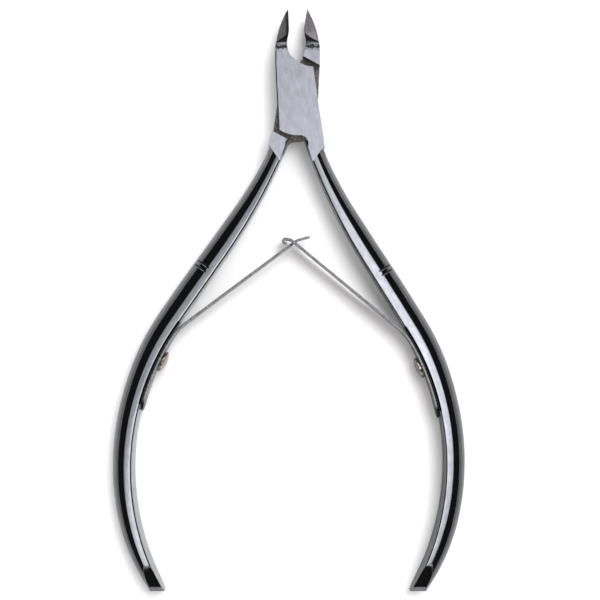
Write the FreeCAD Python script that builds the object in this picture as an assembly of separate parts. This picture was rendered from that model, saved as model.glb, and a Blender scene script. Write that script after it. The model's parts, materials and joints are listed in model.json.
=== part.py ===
import FreeCAD, Part
import math
import os
from FreeCAD import Vector

# Cuticle nipper, millimetres. +Y points to the cutting tips, +Z out of the front face and the
# pivot axis runs along Z. The origin is the bottom centre of the bounding box.
# Each lever is drawn closed about the pivot, in its own frame: lap plate above z = 0, jaw on the
# -X side and handle on the +X side. The rear lever is the same forging turned over. Both are
# then opened about the pivot. side is 1 for the front lever and -1 for the rear one.

# Joint and opening
THICKNESS = 6.4              # joint, jaws and neck, front face to back face
HALF = THICKNESS / 2
LAP_GAP = 0.02               # running gap between the two lap plates
OPEN_ANGLE = 11.14           # angle between the levers when the springs are relaxed, degrees
HANDLE_LEAN = 1.4            # both handles lean this far to the left of the joint, degrees
FRONT_PLATE_R = 5.35         # lower edge of each lap plate, an arc about the pivot
REAR_PLATE_R = 5.85
NECK_CORNER = (3.9, -7.35)   # where the flat face of the joint ends, on the outside
EDGE_CHAMFER = 0.18

# Jaws
TIP_Y = 15.95                # pivot to the cutting tip
EDGE_FOOT_Y = 12.35          # pivot to the lower end of the cutting edge
EDGE_SKEW = 0.2              # sideways shift of the lower end of the cutting edge
EDGE_GAP = 0.01              # each cutting edge stops this short of the closing line
EDGE_LAND = 0.02             # half the thickness left at the cutting edge
BEVEL_WIDTH = 0.5            # narrow bevel ground along one side of each cutting edge
BEVEL_RISE = 0.6
FACET_SLOPE = 0.45           # rise of the wide ground facets per millimetre across
HOLLOW_Y = 10.0              # pivot to the step where the hollow grinding starts
HOLLOW_R = 3.4
BACK_SLOPE_Y = 7.6           # pivot to the start of the slope on the back of the jaws
TIP_BACK_Z = 0.7             # depth left behind the cutting edge at the tip
FLUTE_Y = 9.35               # shallow cross groove below the hollow
FLUTE_R = 0.8
FLUTE_DEPTH = 0.1

# Pivot screw: its head is sunk in the rear plate and its thread is in the front plate
SCREW_D = 3.0
SCREW_HEAD_D = 4.6
SCREW_HEAD_T = 1.1
SCREW_HEAD_SINK = 0.05
SCREW_REACH = 2.2
SHANK_FIT = 0.04             # radial clearance of every shank in its hole
HEAD_FIT = 0.08
SLOT_W = 0.5
SLOT_DEPTH = 0.45

# Handle: a path of (length, turn in degrees) legs along its inner face, from the neck down
HANDLE_START = (1.5, -9.0)
HANDLE_HEADING = -73.3
HANDLE_R = 41.0              # radius of the long curve of the grip
HANDLE_LEGS = [(19.4, 11.4), (13.2, 0.0), (48.0, -math.degrees(48.0 / HANDLE_R))]
HANDLE_BOTTOM = 80.1         # pivot to the cut-off handle ends, along Y when open
# distance along the inner face, width across the handle, depth along Z
HANDLE_SECTIONS = [
    (-3.0, 2.5, 5.2),
    (2.0, 2.6, 5.5),
    (8.0, 3.0, 5.8),
    (15.0, 3.55, 6.0),
    (25.0, 3.8, 6.25),
    (35.0, 3.75, 6.36),
    (45.0, 3.5, 6.36),
    (55.0, 3.4, 6.3),
    (64.0, 3.3, 6.1),
    (71.0, 2.95, 5.8),
    (81.0, 1.9, 5.2),
]
CORNER = 0.35                # rounding between the inner face and the front and back flats
FLAT_SHARE = 0.35            # share of the width where the front and back are flat
END_HALF = 1.1               # half the depth left at each cut-off handle end
END_BEVEL = 0.8              # bevel there at the front and back
END_SLOPE = 0.25             # fall of the front and back over the last stretch, per millimetre
GROOVES_AT = (21.9, 22.7)    # two scribed grooves across the outer flank
GROOVE_DEPTH = 0.12
GROOVE_SPAN = 140.0          # how far each groove reaches around the flank, degrees

# Leaf springs, on the same path as the handle's inner face up to where they bend away
LEAF_T = 0.40
LEAF_LIFT = 0.08             # gap between the leaf and the face it is clamped to
LEAF_FOOT = 48.0             # where the leaf starts, along the handle's inner face
LEAF_OFF = 35.0              # where it bends away from the handle
LEAF_BEND = 21.6
LEAF_BEND_R = 9.0
LEAF_REACH = 22.7            # straight run from that bend to the crossing
LEAF_ROOT_W = 4.4
LEAF_TIP_W = 3.4
TIP_BEND_R = 1.2             # small bend just past the crossing
TONGUE_W = 1.5
TONGUE_SHOULDER = 1.2        # the tongue starts this far before the crossing
TONGUE_BEND = 22.0
TONGUE_RUN = 1.9
EYE_W = 2.2
EYE_BEFORE = 1.0             # reach of the eye before and past the crossing
EYE_PAST = 0.75
EYE_BEND = 30.0
EYE_RUN = 0.55
CURL_R = 0.36
CURL_TURN = 165.0
CURL_END = 0.35

# Spring screws, through the leaf into the inner face of the handle
CLAMP_AT = 39.1
CLAMP_D = 1.8
CLAMP_HEAD_D = 3.5
CLAMP_HEAD_H = 0.95
CLAMP_RIM = 0.2
CLAMP_DEPTH = 2.3
CLAMP_LIFT = 0.06            # the leaf curves away under the flat of the head
CLAMP_SLOT_W = 0.45
CLAMP_SLOT_DEPTH = 0.4

# Pivot in the finished frame
TIP_OPEN_Y = TIP_Y * math.cos(math.radians(OPEN_ANGLE / 2))
PIVOT_Y = (HANDLE_BOTTOM - TIP_OPEN_Y) / 2
PIVOT_X = 1.455              # centres the bounding box

FAR = 100.0                  # reach of cutting tools past the material
ORIGIN = Vector(0, 0, 0)
UP = Vector(0, 0, 1)


# Plan geometry

def turned(point, degrees):
    """A plan point turned about the pivot."""
    c = math.cos(math.radians(degrees))
    s = math.sin(math.radians(degrees))
    return (c * point[0] - s * point[1], s * point[0] + c * point[1])


def beside(point, heading, offset):
    """The point moved to the left of the heading."""
    facing = math.radians(heading)
    return (point[0] - offset * math.sin(facing), point[1] + offset * math.cos(facing))


def advance(point, heading, length, turn):
    """Point and heading after a straight or evenly turning leg."""
    facing = math.radians(heading)
    bend = math.radians(turn)
    if turn == 0:
        moved = (point[0] + length * math.cos(facing), point[1] + length * math.sin(facing))
        return moved, heading
    radius = length / bend
    x = point[0] + radius * (math.sin(facing + bend) - math.sin(facing))
    y = point[1] - radius * (math.cos(facing + bend) - math.cos(facing))
    return (x, y), heading + turn


def on_handle(distance, lean=0.0):
    """Point and heading on the handle's inner face, for a handle leaning about the pivot."""
    point = HANDLE_START
    heading = HANDLE_HEADING
    for number, (length, turn) in enumerate(HANDLE_LEGS):
        last = number == len(HANDLE_LEGS) - 1
        step = distance if last else min(distance, length)
        point, heading = advance(point, heading, step, turn * step / length)
        distance -= step
        if distance == 0:
            break
    return turned(point, lean), heading + lean


def face_of(start, steps):
    """A flat face: each step is an end point, or a pair (middle point, end point) for an arc."""
    edges = []
    here = Vector(*start, 0)
    for step in steps:
        if isinstance(step[0], tuple):
            there = Vector(*step[1], 0)
            edges.append(Part.Arc(here, Vector(*step[0], 0), there).toShape())
        else:
            there = Vector(*step, 0)
            edges.append(Part.makeLine(here, there))
        here = there
    return Part.Face(Part.Wire(edges))


def prism(face, low, high):
    """The face, drawn at z = 0, made solid between two heights."""
    body = face.extrude(Vector(0, 0, high - low))
    body.translate(Vector(0, 0, low))
    return body


def along_y(face):
    """A face drawn as (x, z), made solid along Y over the whole jaw."""
    body = prism(face, -FAR, FAR)
    body.rotate(ORIGIN, Vector(1, 0, 0), 90)
    return body


def along_x(face):
    """A face drawn as (y, z), made solid along X."""
    body = prism(face, -FAR, FAR)
    body.rotate(ORIGIN, Vector(1, 1, 1), 120)
    return body


# Levers

def wall_corner(side):
    """Where the step wall below the jaw meets the throat."""
    return (-0.22 - 0.6 * side * EDGE_SKEW, 7.65)


def jaw(side):
    """Jaw at full thickness, above its step wall."""
    skew = -side * EDGE_SKEW
    steps = [
        ((-0.6 + skew, 9.2), (-0.4 + skew, 11.1)),
        (-EDGE_GAP + skew, EDGE_FOOT_Y),
        (-EDGE_GAP, TIP_Y),
        ((-1.68, 12.95), (-2.78, 9.0)),
        (-3.02, 6.4),
        wall_corner(side),
    ]
    return prism(face_of(wall_corner(side), steps), -HALF, HALF)


def lap_plate(side, lean):
    """Half-thickness plate between jaw and neck. Its lower edge is an arc about the pivot."""
    radius = FRONT_PLATE_R if side > 0 else REAR_PLATE_R

    def on_arc(x):
        return (x, -math.sqrt(radius ** 2 - x ** 2))

    steps = [
        (-3.02, 6.4),
        (-3.5, -0.7 * radius),
        on_arc(-3.3),
        (on_arc(-1.4), on_arc(0.0)),
        ((0.85, -radius - 0.55), turned((1.2, -7.3), lean)),
        turned(NECK_CORNER, lean),
        (3.6, -4.7),
        (3.42, -2.0),
        (3.1, 5.55),
        (1.9, 5.85),
        ((0.75, 6.6), wall_corner(side)),
    ]
    return prism(face_of(wall_corner(side), steps), LAP_GAP / 2, HALF)


def neck(lean):
    """Full-thickness block between the lower step wall and the start of the handle."""
    start = (1.3, -6.0)
    steps = [
        (3.62, -5.05),
        turned(NECK_CORNER, lean),
        turned((1.75, -9.75), lean),
        turned((1.2, -7.3), lean),
        start,
    ]
    return prism(face_of(start, steps), -HALF, HALF)


def section_edges(distance, width, depth, lean):
    """D-shaped section: flat inside, flat front and back, round outside. The flank is last."""
    point, heading = on_handle(distance, lean)
    half = depth / 2

    def at(across, up):
        return Vector(*beside(point, heading, across), up)

    outward = at(1, 0) - at(0, 0)
    flat_end = width * FLAT_SHARE
    slant = CORNER * (1 - math.sqrt(0.5))
    flank_points = []
    for angle in (-90, -45, 0, 45, 90):
        reach = (width - flat_end) * math.cos(math.radians(angle))
        flank_points.append(at(flat_end + reach, half * math.sin(math.radians(angle))))
    flank = Part.BSplineCurve()
    flank.interpolate(
        Points=flank_points,
        Parameters=[0.0, 0.25, 0.5, 0.75, 1.0],
        InitialTangent=outward,
        FinalTangent=outward * -1,
    )
    return [
        Part.makeLine(at(flat_end, half), at(CORNER, half)),
        Part.Arc(at(CORNER, half), at(slant, half - slant), at(0, half - CORNER)).toShape(),
        Part.makeLine(at(0, half - CORNER), at(0, CORNER - half)),
        Part.Arc(at(0, CORNER - half), at(slant, slant - half), at(CORNER, -half)).toShape(),
        Part.makeLine(at(CORNER, -half), at(flat_end, -half)),
        flank.toShape(),
    ]


def section_at(distance):
    """Width and depth of the handle at a distance, between the listed sections."""
    for low, high in zip(HANDLE_SECTIONS, HANDLE_SECTIONS[1:]):
        if distance <= high[0]:
            share = (distance - low[0]) / (high[0] - low[0])
            return [a + share * (b - a) for a, b in zip(low[1:], high[1:])]
    return HANDLE_SECTIONS[-1][1:]


def groove(distance, lean):
    """A V-shaped ring around the handle's outer flank, to be cut away."""
    width, depth = section_at(distance)
    point, heading = on_handle(distance, lean)
    reach = width * (1 - FLAT_SHARE)
    radius = (reach ** 2 + depth ** 2 / 4) / (2 * reach)
    centre = Vector(*beside(point, heading, width - radius), 0)
    outward = Vector(*beside((0, 0), heading, 1), 0)
    way = outward.cross(UP)
    tip = centre + outward * (radius - GROOVE_DEPTH)
    corners = [
        tip,
        tip + (outward + way) * 3 * GROOVE_DEPTH,
        tip + (outward - way) * 3 * GROOVE_DEPTH,
    ]
    profile = Part.Face(Part.makePolygon(corners + corners[:1]))
    profile.rotate(centre, way, -GROOVE_SPAN / 2)
    return profile.revolve(centre, way, GROOVE_SPAN)


def handle(lean):
    """Lofted grip with its two grooves, longer than it will be."""
    wires = [Part.Wire(section_edges(s, w, d, lean)) for s, w, d in HANDLE_SECTIONS]
    grip = Part.makeLoft(wires, True, False)
    for distance in GROOVES_AT:
        grip = grip.cut(groove(distance, lean))
    return grip


def end_trim():
    """What is kept above the handle's end: square when open, bevelled and sloped front and back."""
    low = -HANDLE_BOTTOM
    bevelled = END_HALF + END_BEVEL
    far = bevelled + END_SLOPE * FAR
    keep = along_x(face_of((low, -END_HALF), [
        (low, END_HALF),
        (low + END_BEVEL, bevelled),
        (low + END_BEVEL + FAR, far),
        (low + END_BEVEL + FAR, -far),
        (low + END_BEVEL, -bevelled),
        (low, -END_HALF),
    ]))
    keep.rotate(ORIGIN, UP, -OPEN_ANGLE / 2)
    return keep


def blade_tools(side):
    """What is ground off the jaw: hollow-ground front, sloping back, facets to the edge."""
    wide = FAR * FACET_SLOPE
    with_bevel = [(-BEVEL_WIDTH, BEVEL_RISE), (-FAR, BEVEL_RISE + wide), (-FAR, FAR)]
    plain = [(-FAR, EDGE_LAND + wide), (-FAR, FAR)]
    front_plan, back_plan = (with_bevel, plain) if side > 0 else (plain, with_bevel)
    turn = -side * math.degrees(math.atan2(EDGE_SKEW, TIP_Y - EDGE_FOOT_Y))

    # all tools are drawn for the face that looks towards +Z
    centre_y = HOLLOW_Y + HOLLOW_R
    drop = HOLLOW_R * math.sqrt(0.5)
    hollow = along_x(face_of((HOLLOW_Y, HALF), [
        ((centre_y - drop, HALF - drop), (centre_y, HALF - HOLLOW_R)),
        (FAR, HALF - HOLLOW_R),
        (FAR, FAR),
        (HOLLOW_Y, FAR),
        (HOLLOW_Y, HALF),
    ]))
    flute_centre = Vector(-FAR / 2, FLUTE_Y, HALF + FLUTE_R - FLUTE_DEPTH)
    flute = Part.makeCylinder(FLUTE_R, FAR, flute_centre, Vector(1, 0, 0))
    slope_end = TIP_Y + 1
    fall = (HALF - TIP_BACK_Z) / (TIP_Y - BACK_SLOPE_Y)
    slope = along_x(face_of((BACK_SLOPE_Y, HALF), [
        (slope_end, HALF - fall * (slope_end - BACK_SLOPE_Y)),
        (slope_end, FAR),
        (BACK_SLOPE_Y, FAR),
        (BACK_SLOPE_Y, HALF),
    ]))

    ground = []
    for plan, extra in ((front_plan, flute), (back_plan, slope)):
        facets = along_y(face_of((1, EDGE_LAND), [
            (-EDGE_GAP, EDGE_LAND),
            *plan,
            (1, FAR),
            (1, EDGE_LAND),
        ]))
        facets.rotate(Vector(0, TIP_Y, 0), UP, turn)
        ground.append([facets.common(hollow), extra])
    front, back = ground
    if side > 0:
        back = [tool.mirror(ORIGIN, UP) for tool in back]
    else:
        front = [tool.mirror(ORIGIN, UP) for tool in front]
    return front + back


def plate_side_edges(body):
    """The long straight edge between the face of the lap plate and its outer side."""
    found = []
    for edge in body.Edges:
        box = edge.BoundBox
        level = box.ZMin > HALF - EDGE_GAP and box.ZLength < EDGE_GAP
        if level and box.XMax < -2.5 and box.YLength > HALF:
            found.append(edge)
    return found


def clamp_line(side):
    """Where a spring screw enters the handle's inner face, and its direction inwards."""
    point, heading = on_handle(CLAMP_AT, -side * HANDLE_LEAN)
    into = beside((0, 0), heading, 1)
    return Vector(*point, 0), Vector(*into, 0)


def lever(side):
    """One forging with its pivot hole and the hole of its spring screw."""
    lean = -side * HANDLE_LEAN
    body = jaw(side).fuse([lap_plate(side, lean), neck(lean), handle(lean)])
    body = body.common(end_trim()).removeSplitter()
    body = body.makeChamfer(EDGE_CHAMFER, plate_side_edges(body))
    holes = blade_tools(side)
    point, into = clamp_line(side)
    holes.append(Part.makeCylinder(CLAMP_D / 2 + SHANK_FIT, CLAMP_DEPTH + 1.2, point - into, into))
    if side > 0:
        holes.append(Part.makeCylinder(SCREW_D / 2 + SHANK_FIT, SCREW_REACH + 0.1))
    else:
        sink = SCREW_HEAD_T + SCREW_HEAD_SINK + LAP_GAP
        holes.append(Part.makeCylinder(SCREW_D / 2 + SHANK_FIT, THICKNESS))
        holes.append(Part.makeCylinder(SCREW_HEAD_D / 2 + HEAD_FIT, THICKNESS,
                                       Vector(0, 0, HALF - sink)))
    return body.cut(holes)


# Screws

def pivot_screw():
    """Slotted flat-headed screw, drawn with its head at the back of the closed nipper."""
    back = -HALF + SCREW_HEAD_SINK
    head = Part.makeCylinder(SCREW_HEAD_D / 2, SCREW_HEAD_T, Vector(0, 0, back))
    shank = Part.makeCylinder(SCREW_D / 2, SCREW_REACH - back, Vector(0, 0, back))
    slot = Part.makeBox(2 * SCREW_HEAD_D, SLOT_W, 2 * SLOT_DEPTH,
                        Vector(-SCREW_HEAD_D, -SLOT_W / 2, back - SLOT_DEPTH))
    return head.fuse(shank).removeSplitter().cut(slot)


def spring_screw(side):
    """Domed slotted screw that clamps a leaf. Its slot runs along the handle."""
    point, into = clamp_line(side)
    seat = point - into * (LEAF_LIFT + LEAF_T + CLAMP_LIFT)
    radius = CLAMP_HEAD_D / 2
    rise = CLAMP_HEAD_H - CLAMP_RIM
    ball_r = (radius ** 2 + rise ** 2) / (2 * rise)
    ball = Part.makeSphere(ball_r, seat - into * (CLAMP_HEAD_H - ball_r))
    disc = Part.makeCylinder(radius, CLAMP_HEAD_H, seat, into * -1)
    shank = Part.makeCylinder(CLAMP_D / 2, CLAMP_DEPTH + LEAF_LIFT + LEAF_T + CLAMP_LIFT, seat,
                              into)
    along = into.cross(UP)
    top = seat - into * (CLAMP_HEAD_H - CLAMP_SLOT_DEPTH)
    slot_corners = [
        top + along * radius * 2,
        top - along * radius * 2,
        top - along * radius * 2 - into * radius,
        top + along * radius * 2 - into * radius,
    ]
    slot = Part.Face(Part.makePolygon(slot_corners + slot_corners[:1]))
    slot = prism(slot, -CLAMP_SLOT_W / 2, CLAMP_SLOT_W / 2)
    return disc.common(ball).fuse(shank).removeSplitter().cut(slot)


# Leaf springs

def ribbon(start, heading, legs, thickness, height):
    """A strip of even thickness that follows a path of (length, turn) legs, on its edge."""
    point = start
    edges = [Part.makeLine(Vector(*beside(start, heading, thickness / 2), 0),
                           Vector(*beside(start, heading, -thickness / 2), 0))]
    for length, turn in legs:
        middle = advance(point, heading, length / 2, turn / 2)
        end = advance(point, heading, length, turn)
        for offset in (thickness / 2, -thickness / 2):
            here = Vector(*beside(point, heading, offset), 0)
            there = Vector(*beside(*end, offset), 0)
            if turn == 0:
                edges.append(Part.makeLine(here, there))
            else:
                halfway = Vector(*beside(*middle, offset), 0)
                edges.append(Part.Arc(here, halfway, there).toShape())
        point, heading = end
    edges.append(Part.makeLine(Vector(*beside(point, heading, thickness / 2), 0),
                               Vector(*beside(point, heading, -thickness / 2), 0)))
    outline = Part.Wire(Part.sortEdges(edges)[0])
    return prism(Part.Face(outline), -height / 2, height / 2)


def bend(radius, turn):
    return (radius * math.radians(turn), turn)


def leaf_route(side):
    """Start, heading and legs of a leaf from its foot to the crossing."""
    point, heading = on_handle(LEAF_FOOT, -side * HANDLE_LEAN)
    inset = LEAF_LIFT + LEAF_T / 2
    legs = [
        bend(HANDLE_R - inset, math.degrees((LEAF_FOOT - LEAF_OFF) / HANDLE_R)),
        bend(LEAF_BEND_R, LEAF_BEND),
        (LEAF_REACH, 0),
    ]
    return beside(point, heading, -inset), heading + 180, legs


def leaf(side):
    """Leaf spring: the one on the rear lever ends in a tongue, the front one in an eye."""
    start, heading, legs = leaf_route(side)
    crossing = (start, heading)
    for leg in legs:
        crossing = advance(*crossing, *leg)
    if side > 0:
        ending = [bend(TIP_BEND_R, EYE_BEND), (EYE_RUN, 0), bend(CURL_R, CURL_TURN),
                  (CURL_END, 0)]
        tip_w = LEAF_TIP_W
    else:
        ending = [bend(TIP_BEND_R, TONGUE_BEND), (TONGUE_RUN, 0)]
        tip_w = TONGUE_W
    strip = ribbon(start, heading, legs + ending, LEAF_T, LEAF_ROOT_W)

    # seen from the side: rounded foot, slow taper, then the shoulders of the tongue
    root = LEAF_ROOT_W / 2
    low = start[1]
    wide_to = on_handle(CLAMP_AT)[0][1] + root
    shoulder = crossing[0][1] - TONGUE_SHOULDER
    top = crossing[0][1] + 3 * TIP_BEND_R
    outline = along_x(face_of((low + root, root), [
        ((low - LEAF_T, 0), (low + root, -root)),
        (wide_to, -root),
        (shoulder, -LEAF_TIP_W / 2),
        (shoulder + LEAF_T, -tip_w / 2),
        (top, -tip_w / 2),
        (top, tip_w / 2),
        (shoulder + LEAF_T, tip_w / 2),
        (shoulder, LEAF_TIP_W / 2),
        (wide_to, root),
        (low + root, root),
    ]))
    point, into = clamp_line(side)
    hole = Part.makeCylinder(CLAMP_D / 2 + SHANK_FIT, 2, point - into, into)
    body = strip.common(outline).cut(hole)
    if side > 0:
        before = beside(crossing[0], crossing[1] + 90, EYE_BEFORE)
        past = bend(TIP_BEND_R, EYE_BEND)
        eye = [(EYE_BEFORE, 0), past, (EYE_PAST - past[0], 0)]
        body = body.cut(ribbon(before, crossing[1], eye, 2 * LEAF_T, EYE_W))
    return body


def opened(body, side):
    """From the closed drawing position to the open nipper in the finished frame."""
    if side < 0:
        body.rotate(ORIGIN, Vector(0, 1, 0), 180)
    body.rotate(ORIGIN, UP, side * OPEN_ANGLE / 2)
    body.translate(Vector(PIVOT_X, PIVOT_Y, HALF))
    return body


def main():
    os.makedirs("parts", exist_ok=True)
    parts = {
        "front_lever": opened(lever(1), 1),
        "rear_lever": opened(lever(-1), -1),
        "pivot_screw": opened(pivot_screw(), 1),
        "right_spring": opened(leaf(1), 1),
        "left_spring": opened(leaf(-1), -1),
        "right_spring_screw": opened(spring_screw(1), 1),
        "left_spring_screw": opened(spring_screw(-1), -1),
    }
    for name, body in parts.items():
        body.exportStep(f"parts/{name}.step")
    return parts


if __name__ == "__main__":
    main()
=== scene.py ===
import bmesh
import bpy
import json
import math
from mathutils import Matrix, Vector


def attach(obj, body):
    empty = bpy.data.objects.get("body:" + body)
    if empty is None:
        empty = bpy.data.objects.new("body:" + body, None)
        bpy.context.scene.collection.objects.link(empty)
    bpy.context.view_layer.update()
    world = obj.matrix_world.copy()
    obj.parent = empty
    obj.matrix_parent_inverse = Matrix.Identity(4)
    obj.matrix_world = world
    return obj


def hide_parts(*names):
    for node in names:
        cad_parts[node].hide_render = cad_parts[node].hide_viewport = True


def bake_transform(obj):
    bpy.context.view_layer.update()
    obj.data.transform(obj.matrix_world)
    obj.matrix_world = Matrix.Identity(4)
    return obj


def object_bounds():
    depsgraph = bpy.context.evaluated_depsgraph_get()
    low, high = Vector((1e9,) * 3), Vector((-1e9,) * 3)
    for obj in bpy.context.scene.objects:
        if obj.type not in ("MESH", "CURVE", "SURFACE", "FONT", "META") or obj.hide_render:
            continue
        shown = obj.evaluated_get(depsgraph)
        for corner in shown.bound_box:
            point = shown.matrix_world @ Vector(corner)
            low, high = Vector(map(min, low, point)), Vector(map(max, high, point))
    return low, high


# The looks of the cuticle nipper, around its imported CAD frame. Metres; MM turns millimetres into
# metres. Shapes are drawn like the CAD: each lever closed about the pivot, then opened.

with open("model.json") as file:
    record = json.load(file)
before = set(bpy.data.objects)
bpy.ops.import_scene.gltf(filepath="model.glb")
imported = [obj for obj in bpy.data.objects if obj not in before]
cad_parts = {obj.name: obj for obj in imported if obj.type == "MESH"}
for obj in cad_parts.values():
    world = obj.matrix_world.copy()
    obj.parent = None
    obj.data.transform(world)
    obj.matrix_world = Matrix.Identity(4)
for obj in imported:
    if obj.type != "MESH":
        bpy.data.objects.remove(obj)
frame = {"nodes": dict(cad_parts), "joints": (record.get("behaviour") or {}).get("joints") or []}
CAD_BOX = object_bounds()
MM = 0.001

JOINT = frame["joints"][0]
PIVOT = Vector(JOINT["pos_m"])
OPEN_ANGLE = 11.14
HANDLE_LEAN = 1.4
HANDLE_START = (1.5, -9.0)
HANDLE_HEADING = -73.3
HANDLE_R = 41.0
HANDLE_LEGS = [(19.4, 11.4), (13.2, 0.0), (48.0, -math.degrees(48.0 / HANDLE_R))]
HANDLE_SECTIONS = [
    (-3.0, 2.5, 5.2), (2.0, 2.6, 5.5), (8.0, 3.0, 5.8), (15.0, 3.55, 6.0), (25.0, 3.8, 6.25),
    (35.0, 3.75, 6.36), (45.0, 3.5, 6.36), (55.0, 3.4, 6.3), (64.0, 3.3, 6.1),
    (71.0, 2.95, 5.8), (81.0, 1.9, 5.2),
]
HANDLE_TOP = -1.2            # the handle starts inside the neck
HANDLE_LONG = 80.5
FLAT_SHARE = 0.35
CROWN = 0.12                 # how much the front and back fall towards the outer flank
CORNER = 0.35
END_HALF = 1.1               # half the depth left at the cut-off handle ends
END_BEVEL = 0.8
END_SLOPE = 0.25             # fall of the front and back over the last stretch, per millimetre
GROOVES_AT = (21.9, 22.7)
GROOVE_DEPTH = 0.12
GROOVE_SPAN = 140.0
STATION_STEP = 0.5           # between the sections of the grip, and between those at the grooves
GROOVE_STEP = 0.04
GRAIN_STEP = 0.2             # grain coordinate from one outline point to the next
NECK_CUT = ((3.9, -7.35), (1.75, -9.75))
FLUTE_FOOT = 8.75            # along the jaw from the pivot: the flute, then the hollow above it
HOLLOW_FOOT = 9.9
BACK_SLOPE_TOP = 8.7
HOLLOW_LINE = ((-2.9, 10.15), (0.0, 12.1))
HALF = 3.2
RIM_R = 0.05                 # broken edge around the flat faces of the joint

LEAF_T = 0.40
LEAF_LIFT = 0.08
LEAF_FOOT = 48.0
LEAF_OFF = 35.0
LEAF_BEND = 21.6
LEAF_BEND_R = 9.0
LEAF_REACH = 22.7
LEAF_ROOT_W = 4.4
LEAF_TIP_W = 3.4
LEAF_FREE = 2.1              # start of the leaf's free stretch, this far past its screw
LEAF_STRAIGHT = 0.6          # middle of that stretch, this far into its straight run
LEAF_EDGE_R = 0.07
CLAMP_AT = 39.1
CLAMP_D = 1.8
CLAMP_SHANK = 2.7
CLAMP_HEAD_D = 3.5
CLAMP_HEAD_H = 0.95
CLAMP_HEAD_R = 0.1           # rounding where the head meets the leaf
CLAMP_WALL = 0.46            # top of the head's upright wall
CLAMP_DOME_FOOT = 0.54
CLAMP_DOME_INSET = 0.05
CLAMP_LIFT = 0.06
CLAMP_SLOT_W = 0.45
CLAMP_SLOT_DEPTH = 0.4
TIP_BEND_R = 1.2
TONGUE_W = 1.5
TONGUE_SHOULDER = 1.2
TONGUE_BEND = 22.0
TONGUE_RUN = 1.9
EYE_W = 2.2
EYE_BEFORE = 1.0
EYE_PAST = 0.75
EYE_BEND = 30.0
EYE_RUN = 0.55
CURL_R = 0.36
CURL_TURN = 165.0
CURL_END = 0.35
LEAF_COLUMNS = (-1, -0.824, -0.647, -0.43, -0.215, 0, 0.215, 0.43, 0.647, 0.824, 1)
FOOT_STATIONS = [0.03, 0.12, 0.3, 0.55, 0.9, 1.3, 1.75]     # along the leaf's rounded foot
LEAF_STEP = 0.4              # between the sections of the leaf, and between those near its tip
TIP_STEP = 0.08
TIP_ZONE = 2.4

# Material numbers of a lever, in the order that lever() lists its materials
(POLISHED_AT, SATIN_AT, GROUND_AT, RECESS_SHADE_AT, PAINTED_SHADE_AT, BEVEL_AT, FLUTE_AT, GRIP_AT) = range(8)
CORNER_POINTS = 8            # outline points on the inner face and its rounded corner
FLAT_POINTS = 12             # and up to the end of the front flat


# Plan geometry, as in the CAD

def turned(point, degrees):
    """A point turned about the origin, counterclockwise."""
    c = math.cos(math.radians(degrees))
    s = math.sin(math.radians(degrees))
    return (c * point[0] - s * point[1], s * point[0] + c * point[1])


def beside(point, heading, offset):
    """A point this far to the left of another, seen along the heading."""
    facing = math.radians(heading)
    return (point[0] - offset * math.sin(facing), point[1] + offset * math.cos(facing))


def advance(point, heading, length, turn):
    """Point and heading after a straight run or an arc of this length and turn."""
    facing = math.radians(heading)
    bend = math.radians(turn)
    if turn == 0:
        moved = (point[0] + length * math.cos(facing), point[1] + length * math.sin(facing))
        return moved, heading
    radius = length / bend
    x = point[0] + radius * (math.sin(facing + bend) - math.sin(facing))
    y = point[1] - radius * (math.cos(facing + bend) - math.cos(facing))
    return (x, y), heading + turn


def on_handle(distance, lean):
    """Point and heading on the line of a handle's inner face, this far from its start."""
    point = HANDLE_START
    heading = HANDLE_HEADING
    for number, (length, turn) in enumerate(HANDLE_LEGS):
        last = number == len(HANDLE_LEGS) - 1
        step = distance if last else min(distance, length)
        point, heading = advance(point, heading, step, turn * step / length)
        distance -= step
        if distance == 0:
            break
    return turned(point, lean), heading + lean


def placement(side):
    """From a lever's closed drawing, in millimetres, to the open nipper in metres."""
    flip = Matrix.Rotation(math.pi if side < 0 else 0.0, 4, "Y")
    swing = Matrix.Rotation(math.radians(side * OPEN_ANGLE / 2), 4, "Z")
    return Matrix.Translation(PIVOT) @ swing @ flip @ Matrix.Scale(MM, 4)


def smooth_at(table, distance):
    """Width and depth at a distance, on a smooth curve through the listed sections."""
    for i in range(len(table) - 1):
        if distance <= table[i + 1][0] or i == len(table) - 2:
            before = table[max(i - 1, 0)]
            low, high = table[i], table[i + 1]
            after = table[min(i + 2, len(table) - 1)]
            span = high[0] - low[0]
            t = (distance - low[0]) / span
            values = []
            for k in (1, 2):
                start = (high[k] - before[k]) / (high[0] - before[0]) * span
                end = (after[k] - low[k]) / (after[0] - low[0]) * span
                values.append(
                    (2 * t ** 3 - 3 * t ** 2 + 1) * low[k] + (t ** 3 - 2 * t ** 2 + t) * start
                    + (3 * t ** 2 - 2 * t ** 3) * high[k] + (t ** 3 - t ** 2) * end
                )
            return values


# Materials

def material(name, color, rough, metallic=1.0):
    """A node material with its principled shader, its node tree and its links."""
    made = bpy.data.materials.new(name)
    made.use_nodes = True
    nodes = made.node_tree.nodes
    shader = nodes["Principled BSDF"]
    shader.inputs["Metallic"].default_value = metallic
    shader.inputs["Base Color"].default_value = (*color, 1)
    shader.inputs["Roughness"].default_value = rough
    return made, nodes, made.node_tree.links, shader


def stretched(nodes, links, source, scale):
    """Coordinates from a socket, scaled along each axis."""
    mapping = nodes.new("ShaderNodeMapping")
    mapping.inputs["Scale"].default_value = scale
    links.new(source, mapping.inputs["Vector"])
    return mapping.outputs["Vector"]


def noise(nodes, links, vector, scale, detail=3.0, rough=0.6):
    made = nodes.new("ShaderNodeTexNoise")
    made.inputs["Scale"].default_value = scale
    made.inputs["Detail"].default_value = detail
    made.inputs["Roughness"].default_value = rough
    links.new(vector, made.inputs["Vector"])
    return made.outputs["Fac"]


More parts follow.
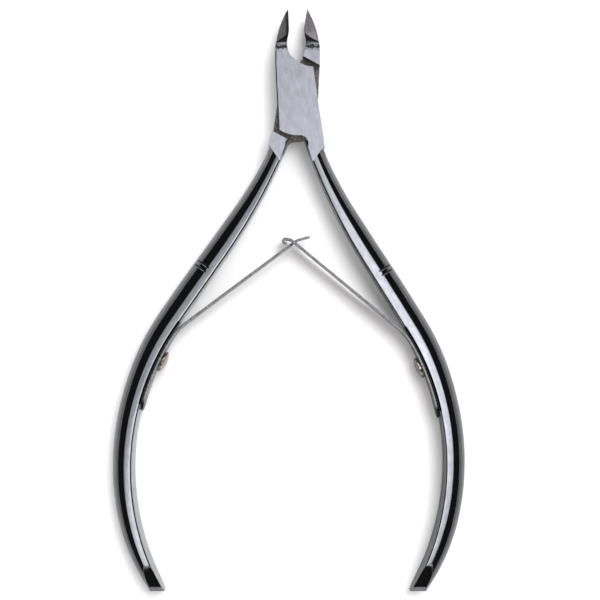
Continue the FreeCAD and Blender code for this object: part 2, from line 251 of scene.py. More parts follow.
def ramp(nodes, links, source, stops):
    """A colour ramp: stops are (position, grey or colour)."""
    made = nodes.new("ShaderNodeValToRGB")
    elements = made.color_ramp.elements
    while len(elements) < len(stops):
        elements.new(0.5)
    for element, (position, value) in zip(elements, stops):
        element.position = position
        element.color = (value, value, value, 1) if isinstance(value, float) else (*value, 1)
    links.new(source, made.inputs["Fac"])
    return made.outputs["Color"]


def bump(nodes, links, shader, height, strength, distance):
    """A bump from a height socket, given to the shader."""
    made = nodes.new("ShaderNodeBump")
    made.inputs["Strength"].default_value = strength
    made.inputs["Distance"].default_value = distance
    links.new(height, made.inputs["Height"])
    links.new(made.outputs["Normal"], shader.inputs["Normal"])


def math_node(nodes, links, operation, a, b=None):
    """The result of an operation on a socket and a second socket or number."""
    made = nodes.new("ShaderNodeMath")
    made.operation = operation
    for socket, value in zip(made.inputs, (a, b)):
        if isinstance(value, (int, float)):
            socket.default_value = value
        elif value is not None:
            links.new(value, socket)
    return made.outputs["Value"]


def multiplied(nodes, links, first, second):
    """The product of two colours."""
    mix = nodes.new("ShaderNodeMix")
    mix.data_type = "RGBA"
    mix.blend_type = "MULTIPLY"
    mix.inputs["Factor"].default_value = 1.0
    links.new(first, mix.inputs["A"])
    links.new(second, mix.inputs["B"])
    return mix.outputs["Result"]


def metal(name, low, high, rough, streaks, bump_distance, steps=(0.3, 0.7), seed=0.0,
          metallic=1.0, source="UV", fade=None):
    """Metal with directional grain, drawn in the (along, across) millimetres of the UV map.

    The grain varies colour, roughness and a fine bump, and broad blotches darken it. A fade
    scales the colour along one axis: its axis, how ragged it is, its span and its stops.
    """
    made, nodes, links, shader = material(name, high, rough, metallic)
    coords = nodes.new("ShaderNodeTexCoord")
    moved = nodes.new("ShaderNodeVectorMath")
    moved.inputs[1].default_value = (seed, seed, seed)
    links.new(coords.outputs[source], moved.inputs[0])
    fine = noise(nodes, links, stretched(nodes, links, moved.outputs[0], streaks), 1.0, 4.0)
    unit = 1.0 if source == "UV" else 1000.0
    wide = stretched(nodes, links, moved.outputs[0], (0.5 * unit, 0.9 * unit, unit))
    broad = noise(nodes, links, wide, 1.0, 3.0)
    color = ramp(nodes, links, fine, [(steps[0], low), (steps[1], high)])
    color = multiplied(nodes, links, color, ramp(nodes, links, broad, [(0.35, 0.8), (0.65, 1.0)]))
    if fade:
        axis, ragged, span, stops = fade
        split = nodes.new("ShaderNodeSeparateXYZ")
        links.new(coords.outputs[source], split.inputs["Vector"])
        blotch = noise(nodes, links, stretched(nodes, links, moved.outputs[0], (2, 1.6, 1)), 1.0)
        shift = math_node(nodes, links, "SUBTRACT", blotch, 0.5)
        shift = math_node(nodes, links, "MULTIPLY", shift, ragged)
        place = math_node(nodes, links, "ADD", split.outputs[axis], shift)
        share = math_node(nodes, links, "DIVIDE", place, span)
        color = multiplied(nodes, links, color, ramp(nodes, links, share, stops))
    links.new(color, shader.inputs["Base Color"])
    spread = nodes.new("ShaderNodeMapRange")
    spread.inputs["To Min"].default_value = rough * 0.7
    spread.inputs["To Max"].default_value = rough * 1.35
    links.new(fine, spread.inputs["Value"])
    links.new(spread.outputs["Result"], shader.inputs["Roughness"])
    bump(nodes, links, shader, fine, 0.6, bump_distance)
    return made


STEEL = (0.53, 0.54, 0.57), (0.63, 0.64, 0.67)
FACE = (0.68, 0.69, 0.75), (0.79, 0.8, 0.865)
POLISHED = metal("polished_steel", *STEEL, 0.07, (0.05, 5, 1), 1e-6)
# The grip's fade paints reflection into its colour: darker partway down the rounded flank, lighter
# towards its outer edge.
GRIP = metal("polished_grip", *STEEL, 0.07, (0.05, 5, 1), 1e-6, seed=2.0,
             fade=("Y", 0.6, 10, [(0.0, 1.0), (0.36, 1.0), (0.5, 0.78), (0.84, 1.3)]))
SATIN = metal("satin_face", *FACE, 0.3, (0.3, 9, 1), 3e-6)
GROUND_FRONT = metal("ground_front", (0.22, 0.22, 0.21), (0.64, 0.64, 0.61), 0.45, (9, 1.2, 1),
                     1.5e-5, metallic=0.93)
GROUND_REAR = metal("ground_rear", (0.3, 0.27, 0.3), (0.68, 0.63, 0.69), 0.5, (7, 2, 1), 1.2e-5,
                    seed=7.0, metallic=0.82)
BEVEL = metal("cutting_bevel", (0.1, 0.09, 0.08), (0.4, 0.36, 0.33), 0.35, (6, 2, 1), 6e-6)
# Near-black steel as painted shade and painted dark reflection: on the jaws' hollow, the slope
# below the jaw, the scribed grooves and the handles' inner faces behind the leaves.
PAINTED_SHADE = metal("painted_shade_near_black", (0.004, 0.004, 0.005), (0.025, 0.025, 0.027), 0.2, (2, 4, 1), 6e-6)
# The flute's fade paints a dark line across the flute, painted shade in its groove; beyond the
# flute it halves the colour.
FLUTE = metal("cross_flute", *FACE, 0.3, (0.6, 2.2, 1), 3e-6, seed=3.0,
              fade=("X", 1.3, 12, [(0.742, 1.0), (0.75, 0.6), (0.757, 0.1), (0.79, 0.07),
                                   (0.806, 0.6), (0.83, 0.5)]))
# Dark steel in the recess between the lap plates and on its walls: painted shade.
RECESS_SHADE = metal("recess_painted_shade", (0.07, 0.06, 0.055), (0.5, 0.45, 0.41), 0.5, (2, 3, 1), 2e-5,
               metallic=0.88)
# The spring's fade paints the leaf's rounded foot, its first two millimetres, dark: painted shade.
SPRING = metal("spring_steel", (0.18, 0.18, 0.18), (0.52, 0.52, 0.53), 0.28, (7, 0.12, 1), 5e-6,
               steps=(0.35, 0.65), fade=("X", 0.3, 40, [(0.03, 0.1), (0.05, 1.0)]))
NICKEL = metal("warm_nickel", (0.6, 0.5, 0.42), (0.82, 0.71, 0.62), 0.13, (900, 900, 900), 3e-6,
               source="Object")
SCREW = metal("turned_steel", (0.4, 0.4, 0.42), (0.55, 0.55, 0.57), 0.28, (900, 900, 900), 4e-6,
              source="Object")


# Levers

def section(distance):
    """Half outline of the handle, (across, up) from the middle of the inner face to the flank."""
    width, depth = smooth_at(HANDLE_SECTIONS, distance)
    half = depth / 2
    flat = width * FLAT_SHARE
    reach = width - flat
    outline = [(0.0, 0.0), (0.0, half * 0.5), (0.0, half - CORNER)]
    for i in range(1, 7):
        a = math.radians(15 * i)
        outline.append((CORNER * (1 - math.cos(a)), half - CORNER * (1 - math.sin(a))))
    for i in range(1, 6):
        outline.append((CORNER + (flat - CORNER) * i / 5, half))
    for i in range(1, 31):
        a = math.radians(3 * i)
        outline.append((flat + reach * math.sin(a), half * math.cos(a)))
    ring = (reach ** 2 + half ** 2) / (2 * reach)
    near = min(abs(distance - groove) for groove in GROOVES_AT)
    shaped = []
    for across, up in outline:
        up *= 1 - CROWN * (across / width) ** 2
        out_x = across - (width - ring)
        span = math.degrees(math.atan2(up, out_x))
        allowed = ring - GROOVE_DEPTH + near
        radius = math.hypot(out_x, up)
        if span < GROOVE_SPAN / 2 and radius > allowed and near < 3 * GROOVE_DEPTH:
            across = width - ring + out_x * allowed / radius
            up *= allowed / radius
        shaped.append((across, up))
    return shaped


def handle_mesh(bm, side):
    """Dense swept grip added to the mesh, in the closed drawing, with its grain coordinates."""
    lean = -side * HANDLE_LEAN
    uv = bm.loops.layers.uv.verify()
    low, high = GROOVES_AT[0] - STATION_STEP, GROOVES_AT[1] + STATION_STEP
    count = int((HANDLE_LONG - HANDLE_TOP) / STATION_STEP) + 1
    stations = [HANDLE_TOP + STATION_STEP * i for i in range(count)]
    stations = [s for s in stations if not low < s < high]
    count = int((high - low) / GROOVE_STEP) + 1
    stations += [low + GROOVE_STEP * i for i in range(count)]
    rings = []
    for distance in sorted(stations):
        point, heading = on_handle(distance, lean)
        half_ring = section(distance)
        outline = half_ring + [(a, -u) for a, u in half_ring[-2:0:-1]]
        verts = [bm.verts.new((*beside(point, heading, a), u)) for a, u in outline]
        rings.append((distance, verts))
    around = len(rings[0][1])
    for (s0, first), (s1, second) in zip(rings, rings[1:]):
        for i in range(around):
            k = (i + 1) % around
            face = bm.faces.new((first[i], first[k], second[k], second[i]))
            across = [min(j, around - j) * GRAIN_STEP for j in (i, i + 1)]
            middle = (s0 + s1) / 2
            # The scribed grooves and the inner face behind the leaf take the near-black steel:
            # painted shade.
            groove_shade = min(abs(middle - groove) for groove in GROOVES_AT) < GROOVE_DEPTH
            groove_shade = groove_shade and FLAT_POINTS < i < around - FLAT_POINTS
            inside = min(i, around - 1 - i) < CORNER_POINTS
            shade_behind_leaf = inside and LEAF_OFF - 3 < middle < LEAF_FOOT - 1
            face.material_index = PAINTED_SHADE_AT if shade_behind_leaf or groove_shade else GRIP_AT
            for loop, spot in zip(face.loops, ((s0, across[0]), (s0, across[1]),
                                               (s1, across[1]), (s1, across[0]))):
                loop[uv].uv = spot
    for face in (bm.faces.new(rings[0][1][::-1]), bm.faces.new(rings[-1][1])):
        face.material_index = GRIP_AT


def cut(bm, point, normal):
    """Everything beyond the plane is removed and the opening is capped."""
    everything = bm.verts[:] + bm.edges[:] + bm.faces[:]
    made = bmesh.ops.bisect_plane(bm, geom=everything, plane_co=point, plane_no=normal,
                                  clear_outer=True, dist=1e-6)
    rim = [e for e in made["geom_cut"] if isinstance(e, bmesh.types.BMEdge)]
    for face in bmesh.ops.holes_fill(bm, edges=rim)["faces"]:
        face.material_index = POLISHED_AT
        face.smooth = False


def finished(name, bm, materials):
    """A mesh object in the scene, with its normals outward."""
    bmesh.ops.recalc_face_normals(bm, faces=bm.faces[:])
    mesh = bpy.data.meshes.new(name)
    bm.to_mesh(mesh)
    bm.free()
    made = bpy.data.objects.new(name, mesh)
    bpy.context.scene.collection.objects.link(made)
    for item in materials:
        mesh.materials.append(item)
    return made


def grip(side):
    """The handle of one lever, open, with its cut-off end."""
    bm = bmesh.new()
    handle_mesh(bm, side)
    for face in bm.faces:
        face.smooth = True
    bm.transform(placement(side))
    low = CAD_BOX[0].y
    cut(bm, Vector((0, low, 0)), Vector((0, -1, 0)))
    for way in (1, -1):
        rim = Vector((0, low, PIVOT.z + way * END_HALF * MM))
        cut(bm, rim, Vector((0, -1, way)).normalized())
        foot = rim + Vector((0, 1, way)) * END_BEVEL * MM
        cut(bm, foot, Vector((0, -END_SLOPE, way)).normalized())
    uv = bm.loops.layers.uv.verify()
    for face in bm.faces:
        if not face.smooth:
            for loop in face.loops:
                spot = loop.vert.co / MM
                loop[uv].uv = (spot.y, spot.x)
    return bm


def block(node, side):
    """The joint, neck and jaw of one lever, taken from the CAD and cleaned up."""
    bm = bmesh.new()
    bm.from_mesh(frame["nodes"][node].data)
    bmesh.ops.remove_doubles(bm, verts=bm.verts[:], dist=1e-6)
    lean = -side * HANDLE_LEAN
    place = placement(side)
    a, b = (place @ Vector((*turned(p, lean), 0)) for p in NECK_CUT)
    along = (b - a).normalized()
    normal = along.cross(Vector((0, 0, 1)))
    on_grip = place @ Vector((2.0, -20.0, 0))
    if (on_grip - a).dot(normal) < 0:
        normal = -normal
    cut(bm, a, normal)
    bmesh.ops.dissolve_limit(bm, angle_limit=math.radians(0.6), verts=bm.verts[:],
                             edges=bm.edges[:])
    turn = place.to_3x3().normalized()
    everything = bm.verts[:] + bm.edges[:] + bm.faces[:]
    bmesh.ops.bisect_plane(bm, geom=everything, plane_co=place @ Vector((0, FLUTE_FOOT, 0)),
                           plane_no=turn @ Vector((0, 1, 0)), dist=1e-7)
    # On the front lever the ground facet is split along the hollow's line, so that its lower part
    # can take the near-black painted shade.
    if side > 0:
        foot, top = Vector(HOLLOW_LINE[0]), Vector(HOLLOW_LINE[1])
        across = Vector((top.y - foot.y, foot.x - top.x, 0)).normalized()
        back = place.inverted()
        faces = [f for f in bm.faces if finish_of(f, back, side) in (GROUND_AT, BEVEL_AT)
                 and f.calc_center_median().z > PIVOT.z]
        geom = {part for f in faces for part in (f, *f.edges, *f.verts)}
        bmesh.ops.bisect_plane(bm, geom=list(geom), plane_co=place @ foot.to_3d(),
                               plane_no=turn @ across, dist=1e-7)
    rims = []
    for edge in bm.edges:
        level = [f for f in edge.link_faces if is_face(f)]
        if len(level) == 1 and len(edge.link_faces) == 2 and edge.calc_face_angle() > 0.6:
            rims.append(edge)
    bmesh.ops.bevel(bm, geom=rims, offset=RIM_R * MM, segments=2, profile=0.5, affect="EDGES",
                    clamp_overlap=True)
    return bm


def is_face(face):
    """Whether this is part of the flat front or back of the joint."""
    level = abs(abs(face.calc_center_median().z - PIVOT.z) - HALF * MM) < 0.00001
    return abs(face.normal.z) > 0.9995 and level


def finish_of(face, back, side):
    """Which material a face of the joint, neck or jaw has."""
    normal = back.to_3x3() @ face.normal
    normal.normalize()
    middle = back @ face.calc_center_median()
    if is_face(face):
        return FLUTE_AT if middle.y > FLUTE_FOOT else SATIN_AT
    # The lower part of the front lever's ground facet, below the hollow's line, gets the near-black
    # steel of the hollow: painted shade and dark reflection
    foot, top = HOLLOW_LINE
    line = foot[1] + (middle.x - foot[0]) * (top[1] - foot[1]) / (top[0] - foot[0])
    if side > 0 and HOLLOW_FOOT < middle.y < line and normal.z > 0.3:
        return PAINTED_SHADE_AT
    # Jaw: upright walls, ground facet, bevel at the edge and hollow; the hollow is near-black,
    # painted dark reflection
    if middle.y > HOLLOW_FOOT:
        if abs(normal.z) < 0.3:
            return POLISHED_AT
        if abs(normal.x) > 0.3:
            return GROUND_AT if abs(normal.z) > 0.8 else BEVEL_AT
        return PAINTED_SHADE_AT
    # Shallow flute and slope below the jaw; the slope is near-black, painted shade
    if middle.y > BACK_SLOPE_TOP and abs(normal.z) > 0.2:
        return FLUTE_AT if abs(middle.z) > HALF - 0.2 else PAINTED_SHADE_AT
    # Plane where the lap plates meet, and the walls that step down to it, all darkened as painted
    # shade
    if abs(normal.z) > 0.9 and abs(middle.z) < 0.1:
        return RECESS_SHADE_AT
    if abs(normal.z) < 0.1 and middle.y < 8 and abs(middle.z) < HALF - 0.1:
        inner_wall = normal.y > 0.4 and middle.x > -3 and middle.y < -4
        step_wall = normal.y < -0.4 and middle.y > 5
        if inner_wall or step_wall:
            return RECESS_SHADE_AT
    return POLISHED_AT


def keep_flat(mesh):
    """Sharp edges around every face of the joint, so that none of them shades like a dome."""
    users = {}
    for face in mesh.polygons:
        if face.material_index == SATIN_AT:
            for loop in face.loop_indices:
                edge = mesh.loops[loop].edge_index
                users[edge] = users.get(edge, 0) + 1
    sharp = mesh.attributes["sharp_edge"].data
    for edge, count in users.items():
        if count == 1:
            sharp[edge].value = True


def lever(node, side, body):
    """One lever: the joint, neck and jaw from the CAD with a freshly swept grip."""
    bm = block(node, side)
    uv = bm.loops.layers.uv.verify()
    back = placement(side).inverted()
    for face in bm.faces:
        face.smooth = True
        face.material_index = finish_of(face, back, side)
        for loop in face.loops:
            spot = back @ loop.vert.co
            loop[uv].uv = (spot.y, spot.x + spot.z)
    grip_bm = grip(side)
    extra = bpy.data.meshes.new("extra")
    grip_bm.to_mesh(extra)
    grip_bm.free()
    bm.from_mesh(extra)
    bpy.data.meshes.remove(extra)
    ground = GROUND_FRONT if side > 0 else GROUND_REAR
    finishes = [POLISHED, SATIN, ground, RECESS_SHADE, PAINTED_SHADE, BEVEL, FLUTE, GRIP]
    piece = finished(node + "_body", bm, finishes)
    piece.data.set_sharp_from_angle(angle=math.radians(28))
    keep_flat(piece.data)
    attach(piece, body)
    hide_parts(node)


# Leaf springs

def leaf_legs(side):
    """The leaf's path from foot to tip as (length, turn) legs, and where it crosses the other."""
    inset = LEAF_LIFT + LEAF_T / 2
    turn = math.degrees((LEAF_FOOT - LEAF_OFF) / HANDLE_R)
    legs = [((HANDLE_R - inset) * math.radians(turn), turn),
            (LEAF_BEND_R * math.radians(LEAF_BEND), LEAF_BEND), (LEAF_REACH, 0)]
    crossing = sum(length for length, _ in legs)
    if side > 0:
        ends = [(TIP_BEND_R * math.radians(EYE_BEND), EYE_BEND), (EYE_RUN, 0),
                (CURL_R * math.radians(CURL_TURN), CURL_TURN), (CURL_END, 0)]
    else:
        ends = [(TIP_BEND_R * math.radians(TONGUE_BEND), TONGUE_BEND), (TONGUE_RUN, 0)]
    return legs + ends, crossing


def on_leaf(side, distance):
    """Point and heading on the leaf's middle line."""
    point, heading = on_handle(LEAF_FOOT, -side * HANDLE_LEAN)
    point = beside(point, heading, -(LEAF_LIFT + LEAF_T / 2))
    heading += 180
    legs = leaf_legs(side)[0]
    for length, turn in legs:
        step = min(distance, length)
        point, heading = advance(point, heading, step, turn * step / length)
        distance -= step
        if distance <= 0:
            break
    return point, heading


def leaf_width(side, distance, crossing):
    """Round at the foot, even under the screw, then tapering to the eye or the tongue."""
    root = LEAF_ROOT_W / 2
    clamp = LEAF_FOOT - CLAMP_AT
    shoulder = crossing - TONGUE_SHOULDER
    if distance < root:
        return 2 * math.sqrt(root ** 2 - (root - distance) ** 2)
    if distance < clamp + root:
        return LEAF_ROOT_W
    if distance < shoulder:
        share = (distance - clamp - root) / (shoulder - clamp - root)
        return LEAF_ROOT_W + share * (LEAF_TIP_W - LEAF_ROOT_W)
    tip = LEAF_TIP_W if side > 0 else TONGUE_W
    share = min(1.0, (distance - shoulder) / LEAF_T)
    return LEAF_TIP_W + share * (tip - LEAF_TIP_W)


def leaf(node, side):
    """Leaf spring as a bent strip of even thickness, with the eye cut out of the right one."""
    legs, crossing = leaf_legs(side)
    total = sum(length for length, _ in legs)
    eye = (crossing - EYE_BEFORE, crossing + EYE_PAST)
    first = LEAF_ROOT_W / 2
    last = crossing - TIP_ZONE
    stations = FOOT_STATIONS + [total, *eye]
    stations += [first + LEAF_STEP * i for i in range(int((last - first) / LEAF_STEP))]
    stations += [last + TIP_STEP * i for i in range(int((total - last) / TIP_STEP))]
    stations = sorted(set(stations))
    bm = bmesh.new()
    uv = bm.loops.layers.uv.verify()
    rows = []
    for distance in stations:
        point, heading = on_leaf(side, distance)
        half = leaf_width(side, distance, crossing) / 2
        side_point = beside(point, heading, -LEAF_T / 2)
        rows.append([bm.verts.new((*side_point, half * c)) for c in LEAF_COLUMNS])
    window = EYE_W / LEAF_TIP_W + 0.01
    for i in range(len(stations) - 1):
        middle = (stations[i] + stations[i + 1]) / 2
        for k in range(len(LEAF_COLUMNS) - 1):
            across = (LEAF_COLUMNS[k] + LEAF_COLUMNS[k + 1]) / 2
            if side > 0 and eye[0] < middle < eye[1] and abs(across) < window:
                continue
            bm.faces.new((rows[i][k], rows[i + 1][k], rows[i + 1][k + 1], rows[i][k + 1]))
    loose = [v for v in bm.verts if not v.link_faces]
    bmesh.ops.delete(bm, geom=loose, context="VERTS")
    bmesh.ops.recalc_face_normals(bm, faces=bm.faces[:])
    spots = {v: (d, c) for d, row in zip(stations, rows) for v, c in zip(row, LEAF_COLUMNS)
             if v.is_valid}
    for face in bm.faces:
        for loop in face.loops:
            loop[uv].uv = spots[loop.vert]
    out = bm.faces[:][0]
    out.normal_update()
    _, heading = on_leaf(side, stations[0])
    wanted = Vector((*beside((0, 0), heading, 1), 0))
    thickness = -LEAF_T if out.normal.dot(wanted) > 0 else LEAF_T
    bmesh.ops.solidify(bm, geom=bm.faces[:], thickness=thickness)
    bmesh.ops.recalc_face_normals(bm, faces=bm.faces[:])
    rims = [e for e in bm.edges if len(e.link_faces) == 2 and e.calc_face_angle() > 1.0]
    bmesh.ops.bevel(bm, geom=rims, offset=LEAF_EDGE_R, segments=2, profile=0.5, affect="EDGES",
                    clamp_overlap=True)
    for face in bm.faces:
        face.smooth = True
    bm.transform(placement(side))
    piece = finished(node + "_leaf", bm, [SPRING])
    piece.data.set_sharp_from_angle(angle=math.radians(40))
    turn_at = crossing - LEAF_REACH + LEAF_STRAIGHT
    start_at = LEAF_FOOT - CLAMP_AT + LEAF_FREE
    place = placement(side)
    start = place @ Vector((*on_leaf(side, start_at)[0], 0))
    end = place @ Vector((*on_leaf(side, 2 * turn_at - start_at)[0], 0))
    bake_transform(piece)
    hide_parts(node)


# Screws

def slotted(piece, cutter):
    """Cuts one piece out of another for good."""
    tool = piece.modifiers.new("slot", "BOOLEAN")
    tool.object = cutter
    tool.solver = "EXACT"
    seen = piece.evaluated_get(bpy.context.evaluated_depsgraph_get())
    mesh = bpy.data.meshes.new_from_object(seen)
    piece.modifiers.clear()
    piece.data = mesh
    bpy.data.objects.remove(cutter)


def spring_screw(node, side, body):
    """Domed slotted screw with a rounded rim, clamping a leaf against the handle."""
    lean = -side * HANDLE_LEAN
    point, heading = on_handle(CLAMP_AT, lean)
    seat = beside(point, heading, -(LEAF_LIFT + LEAF_T + CLAMP_LIFT))
    radius = CLAMP_HEAD_D / 2
    dome = radius - CLAMP_DOME_INSET
    profile = [(-CLAMP_SHANK, 0), (-CLAMP_SHANK, CLAMP_D / 2), (0, CLAMP_D / 2),
               (0, radius - CLAMP_HEAD_R), (0.3 * CLAMP_HEAD_R, radius - 0.3 * CLAMP_HEAD_R),
               (CLAMP_HEAD_R, radius), (CLAMP_WALL, radius), (CLAMP_DOME_FOOT, dome)]
    for i in range(1, 10):
        r = dome * (1 - i / 9)
        rise = (CLAMP_HEAD_H - CLAMP_DOME_FOOT) * (1 - (r / dome) ** 2)
        profile.append((CLAMP_DOME_FOOT + rise, r))
    bm = bmesh.new()
    verts = [bm.verts.new((r, 0, a)) for a, r in profile]
    edges = [bm.edges.new(pair) for pair in zip(verts, verts[1:])]
    bmesh.ops.spin(bm, geom=verts + edges, axis=(0, 0, 1), cent=(0, 0, 0), steps=64,
                   angle=math.tau)
    bmesh.ops.remove_doubles(bm, verts=bm.verts[:], dist=1e-5)
    outward = Vector((*beside((0, 0), heading, -1), 0))
    frame_axes = Matrix((Vector((0, 0, 1)).cross(outward), Vector((0, 0, 1)), outward)).transposed()
    stand = Matrix.Translation((*seat, 0)) @ frame_axes.to_4x4()
    bm.transform(placement(side) @ stand)
    for face in bm.faces:
        face.smooth = True
    piece = finished(node + "_turned", bm, [NICKEL])
    bm = bmesh.new()
    bmesh.ops.create_cube(bm, size=1)
    size = Matrix.Diagonal((4 * radius, CLAMP_SLOT_W, 2 * CLAMP_SLOT_DEPTH, 1))
    bm.transform(placement(side) @ stand @ Matrix.Translation((0, 0, CLAMP_HEAD_H)) @ size)
    slotted(piece, finished("slot_tool", bm, [NICKEL]))
    piece.data.set_sharp_from_angle(angle=math.radians(30))
    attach(piece, body)
    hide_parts(node)


lever("front_lever", 1, "front_half")
lever("rear_lever", -1, "rear_half")
leaf("right_spring", 1)
leaf("left_spring", -1)
spring_screw("right_spring_screw", 1, "front_half")
spring_screw("left_spring_screw", -1, "rear_half")
pivot_mesh = frame["nodes"]["pivot_screw"].data
pivot_mesh.materials.clear()
pivot_mesh.materials.append(SCREW)


# Studio. The camera sees one white floor. The steel mirrors three other ones a hair lower:
# bright between the handles, fading beside them and dim beyond.

FLOOR_Z = -0.00002
INNER_CARD_Z = -0.00004
APRON_Z = -0.00005
DIM_FLOOR_Z = -0.00006
CHANGE_WIDTH = 0.02
UNDER_HANDLE = 1.5
APRON_REACH = 61.5
CARD_STEP = 3
APRON_GREYS = [(0.03, 0.5), (0.12, 0.42), (0.3, 0.28), (1.0, 0.1)]


def stage_plane(name, size, height, material_made):
    """A square, level sheet of the studio."""
    bm = bmesh.new()
    bmesh.ops.create_grid(bm, x_segments=1, y_segments=1, size=size / 2)
    bm.transform(Matrix.Translation((0, 0, height)))
    made = finished(name, bm, [material_made])
    return made


def paper(name, grey, right_grey=None):
    """Matt paper. With a second grey it changes to that one across the middle, to the right."""
    made, nodes, links, shader = material(name, (grey, grey, grey), 0.8, 0.0)
    coords = nodes.new("ShaderNodeTexCoord")
    if right_grey is not None:
        split = nodes.new("ShaderNodeSeparateXYZ")
        links.new(coords.outputs["Object"], split.inputs["Vector"])
        share = math_node(nodes, links, "MULTIPLY", split.outputs["X"], 1 / CHANGE_WIDTH)
        share = math_node(nodes, links, "ADD", share, 0.4)
        color = ramp(nodes, links, share, [(0.0, grey), (1.0, right_grey)])
        links.new(color, shader.inputs["Base Color"])
    grain = noise(nodes, links, coords.outputs["Object"], 900.0, 3.0)
    bump(nodes, links, shader, grain, 0.08, 2e-5)
    return made


FLOOR = stage_plane("floor", 4.0, FLOOR_Z, paper("paper", 0.89))
FLOOR.visible_glossy = False
FLOOR.visible_shadow = False
DIM_FLOOR = stage_plane("floor_in_reflections", 4.0, DIM_FLOOR_Z, paper("dim_paper", 0.31))


def below_handle(side, distance, offset, height):
    """A point under a handle, this far out from the line of its inner face."""
    point, heading = on_handle(distance, -side * HANDLE_LEAN)
    spot = placement(side) @ Vector((*beside(point, heading, offset), 0))
    return (spot.x, spot.y, height)


def inner_card():
    """The floor between the handles as their inner faces mirror it."""
    card = bmesh.new()
    stations = range(0, 82, CARD_STEP)
    outline = [below_handle(1, s, UNDER_HANDLE, INNER_CARD_Z) for s in stations]
    outline += [below_handle(-1, s, UNDER_HANDLE, INNER_CARD_Z) for s in reversed(stations)]
    card.faces.new([card.verts.new(spot) for spot in outline])
    # The card turns from bright to dim across the middle towards the right handle: painted shadow,
    # the floor beside that handle's inner face as it lies in the key light's shadow.
    made = finished("inner_floor_in_reflections", card, [paper("bright_paper_shaded_right", 0.72, 0.36)])
    return made


def apron(side):
    """The floor beside one handle as its flank mirrors it, dimmer away from the handle."""
    made, nodes, links, shader = material("fading_paper", (0.4, 0.4, 0.4), 0.8, 0.0)
    coords = nodes.new("ShaderNodeTexCoord")
    split = nodes.new("ShaderNodeSeparateXYZ")
    links.new(coords.outputs["UV"], split.inputs["Vector"])
    links.new(ramp(nodes, links, split.outputs["X"], APRON_GREYS), shader.inputs["Base Color"])
    strip = bmesh.new()
    uv = strip.loops.layers.uv.verify()
    rows = []
    for distance in range(0, 85, CARD_STEP):
        spots = [below_handle(side, distance, a, APRON_Z) for a in (UNDER_HANDLE, APRON_REACH)]
        rows.append([strip.verts.new(spot) for spot in spots])
    for first, second in zip(rows, rows[1:]):
        face = strip.faces.new((first[0], first[1], second[1], second[0]))
        for corner, u in zip(face.loops, (0.0, 1.0, 1.0, 0.0)):
            corner[uv].uv = (u, 0.0)
    card = finished("outer_floor_in_reflections", strip, [made])
    return card


for card in (DIM_FLOOR, inner_card(), apron(1), apron(-1)):
    card.visible_camera = False
    card.visible_diffuse = False
    card.visible_shadow = False

PANEL_HEIGHT = 1.0
PANEL_R = 0.36
PANEL_AT = (0.06, -0.02, 0)
PANEL_SCALE = (0.92, 1.75, 1)
PANEL_TURN = -45             # its long axis runs towards the upper right
PANEL_GLOW = 1.05
STREAK_AT = 0.08
STREAK_WIDTH = 0.03


def panel_material():
    """Bright in the middle, dimmer on the rim and on one side, with one brighter streak."""
    made = bpy.data.materials.new("softbox")
    made.use_nodes = True
    nodes, links = made.node_tree.nodes, made.node_tree.links
    nodes.clear()
    coords = nodes.new("ShaderNodeTexCoord")
    flat = stretched(nodes, links, coords.outputs["Object"], (1, 1, 0))
    length = nodes.new("ShaderNodeVectorMath")
    length.operation = "LENGTH"
    links.new(flat, length.inputs[0])
    rim = ramp(nodes, links, length.outputs["Value"], [
        (0.0, (1.03, 1.05, 1.09)), (PANEL_R * 0.45, (0.9, 0.92, 0.96)),
        (PANEL_R * 0.8, (0.61, 0.62, 0.65)), (PANEL_R, (0.51, 0.52, 0.55)),
    ])
    split = nodes.new("ShaderNodeSeparateXYZ")
    links.new(coords.outputs["Object"], split.inputs["Vector"])
    side_light = nodes.new("ShaderNodeMapRange")
    side_light.inputs["From Min"].default_value = -PANEL_R * 0.5
    side_light.inputs["From Max"].default_value = -PANEL_R * 0.1
    side_light.inputs["To Min"].default_value = 0.7
    side_light.inputs["To Max"].default_value = 1.4
    links.new(split.outputs["X"], side_light.inputs["Value"])
    away = math_node(nodes, links, "SUBTRACT", split.outputs["X"], STREAK_AT)
    away = math_node(nodes, links, "ABSOLUTE", away)
    streak = ramp(nodes, links, away, [(0.0, 0.3), (STREAK_WIDTH, 0.0)])
    brightness = math_node(nodes, links, "ADD", side_light.outputs["Result"], streak)
    glow = nodes.new("ShaderNodeVectorMath")
    glow.operation = "SCALE"
    links.new(rim, glow.inputs[0])
    links.new(brightness, glow.inputs["Scale"])
    emit = nodes.new("ShaderNodeEmission")
    emit.inputs["Strength"].default_value = PANEL_GLOW
    links.new(glow.outputs["Vector"], emit.inputs["Color"])
    out = nodes.new("ShaderNodeOutputMaterial")
    links.new(emit.outputs["Emission"], out.inputs["Surface"])
    return made


def overhead_panel():
    """The long soft panel that the polished steel mirrors. It lights nothing else."""
    bm = bmesh.new()
    bmesh.ops.create_circle(bm, cap_ends=True, segments=96, radius=PANEL_R)
    bm.transform(Matrix.Translation((0, 0, PANEL_HEIGHT)))
    made = finished("overhead_panel", bm, [panel_material()])
    made.location = PANEL_AT
    made.scale = PANEL_SCALE
    made.rotation_euler.z = math.radians(PANEL_TURN)
    made.visible_camera = False
    made.visible_diffuse = False
    made.visible_shadow = False


def soft_light(name, place, size, power, color=(1, 1, 1)):
    """A round light aimed at the origin, left out of reflections."""
    data = bpy.data.lights.new(name, "AREA")
    data.shape = "DISK"
    data.size = size
    data.energy = power
    data.color = color
    made = bpy.data.objects.new(name, data)
    bpy.context.scene.collection.objects.link(made)
    made.location = place
    made.rotation_euler = (-Vector(place)).to_track_quat("-Z", "Y").to_euler()
    made.visible_glossy = False


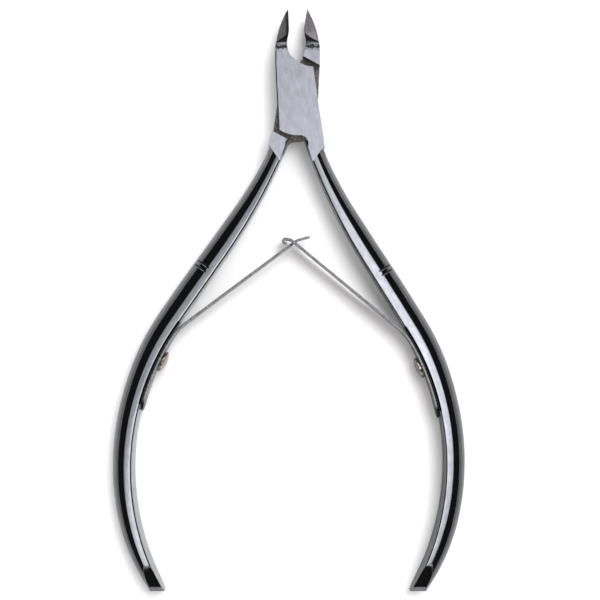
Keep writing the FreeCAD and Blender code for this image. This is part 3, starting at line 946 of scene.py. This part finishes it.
def surroundings():
    """Dark all around, but bright beyond both ends of the nipper and faintly at the horizon."""
    world = bpy.data.worlds.new("studio")
    bpy.context.scene.world = world
    world.use_nodes = True
    nodes, links = world.node_tree.nodes, world.node_tree.links
    coords = nodes.new("ShaderNodeTexCoord")
    split = nodes.new("ShaderNodeSeparateXYZ")
    links.new(coords.outputs["Generated"], split.inputs["Vector"])
    across = math_node(nodes, links, "ABSOLUTE", split.outputs["X"])
    lengthwise = math_node(nodes, links, "ABSOLUTE", split.outputs["Y"])
    ahead = math_node(nodes, links, "SUBTRACT", lengthwise, across)
    ahead = ramp(nodes, links, ahead, [(0.03, 0.0), (0.3, 0.75), (0.6, 0.9)])
    behind = math_node(nodes, links, "MULTIPLY", split.outputs["Y"], split.outputs["Z"])
    behind = math_node(nodes, links, "MULTIPLY", behind, -1.0)
    open_part = ramp(nodes, links, behind, [(0.38, 1.0), (0.43, 0.0)])
    low_sky = ramp(nodes, links, split.outputs["Z"], [(0.0, 0.12), (0.04, 0.06), (0.1, 0.012),
                                                     (1.0, 0.01)])
    ends = multiplied(nodes, links, ahead, open_part)
    sky = math_node(nodes, links, "MAXIMUM", low_sky, ends)
    links.new(sky, nodes["Background"].inputs["Color"])


overhead_panel()
soft_light("key", (0.31, 0.36, 1.1), 0.62, 11.5)
soft_light("fill", (0, 0, 1.3), 4.4, 39.0, color=(1.0, 0.965, 0.975))
surroundings()

# Camera, looking straight down

VIEW_HEIGHT = 0.0989         # of the picture, at VIEW_LEVEL above the middle of the nipper
VIEW_LEVEL = 0.0005
CAMERA_HEIGHT = 0.25
camera_data = bpy.data.cameras.new("camera")
camera_data.lens = camera_data.sensor_width * CAMERA_HEIGHT / VIEW_HEIGHT
camera = bpy.data.objects.new("camera", camera_data)
bpy.context.scene.collection.objects.link(camera)
camera.location = (0.00185, -0.00012, PIVOT.z + VIEW_LEVEL + CAMERA_HEIGHT)
bpy.context.scene.camera = camera
bpy.context.scene.view_settings.view_transform = "Standard"
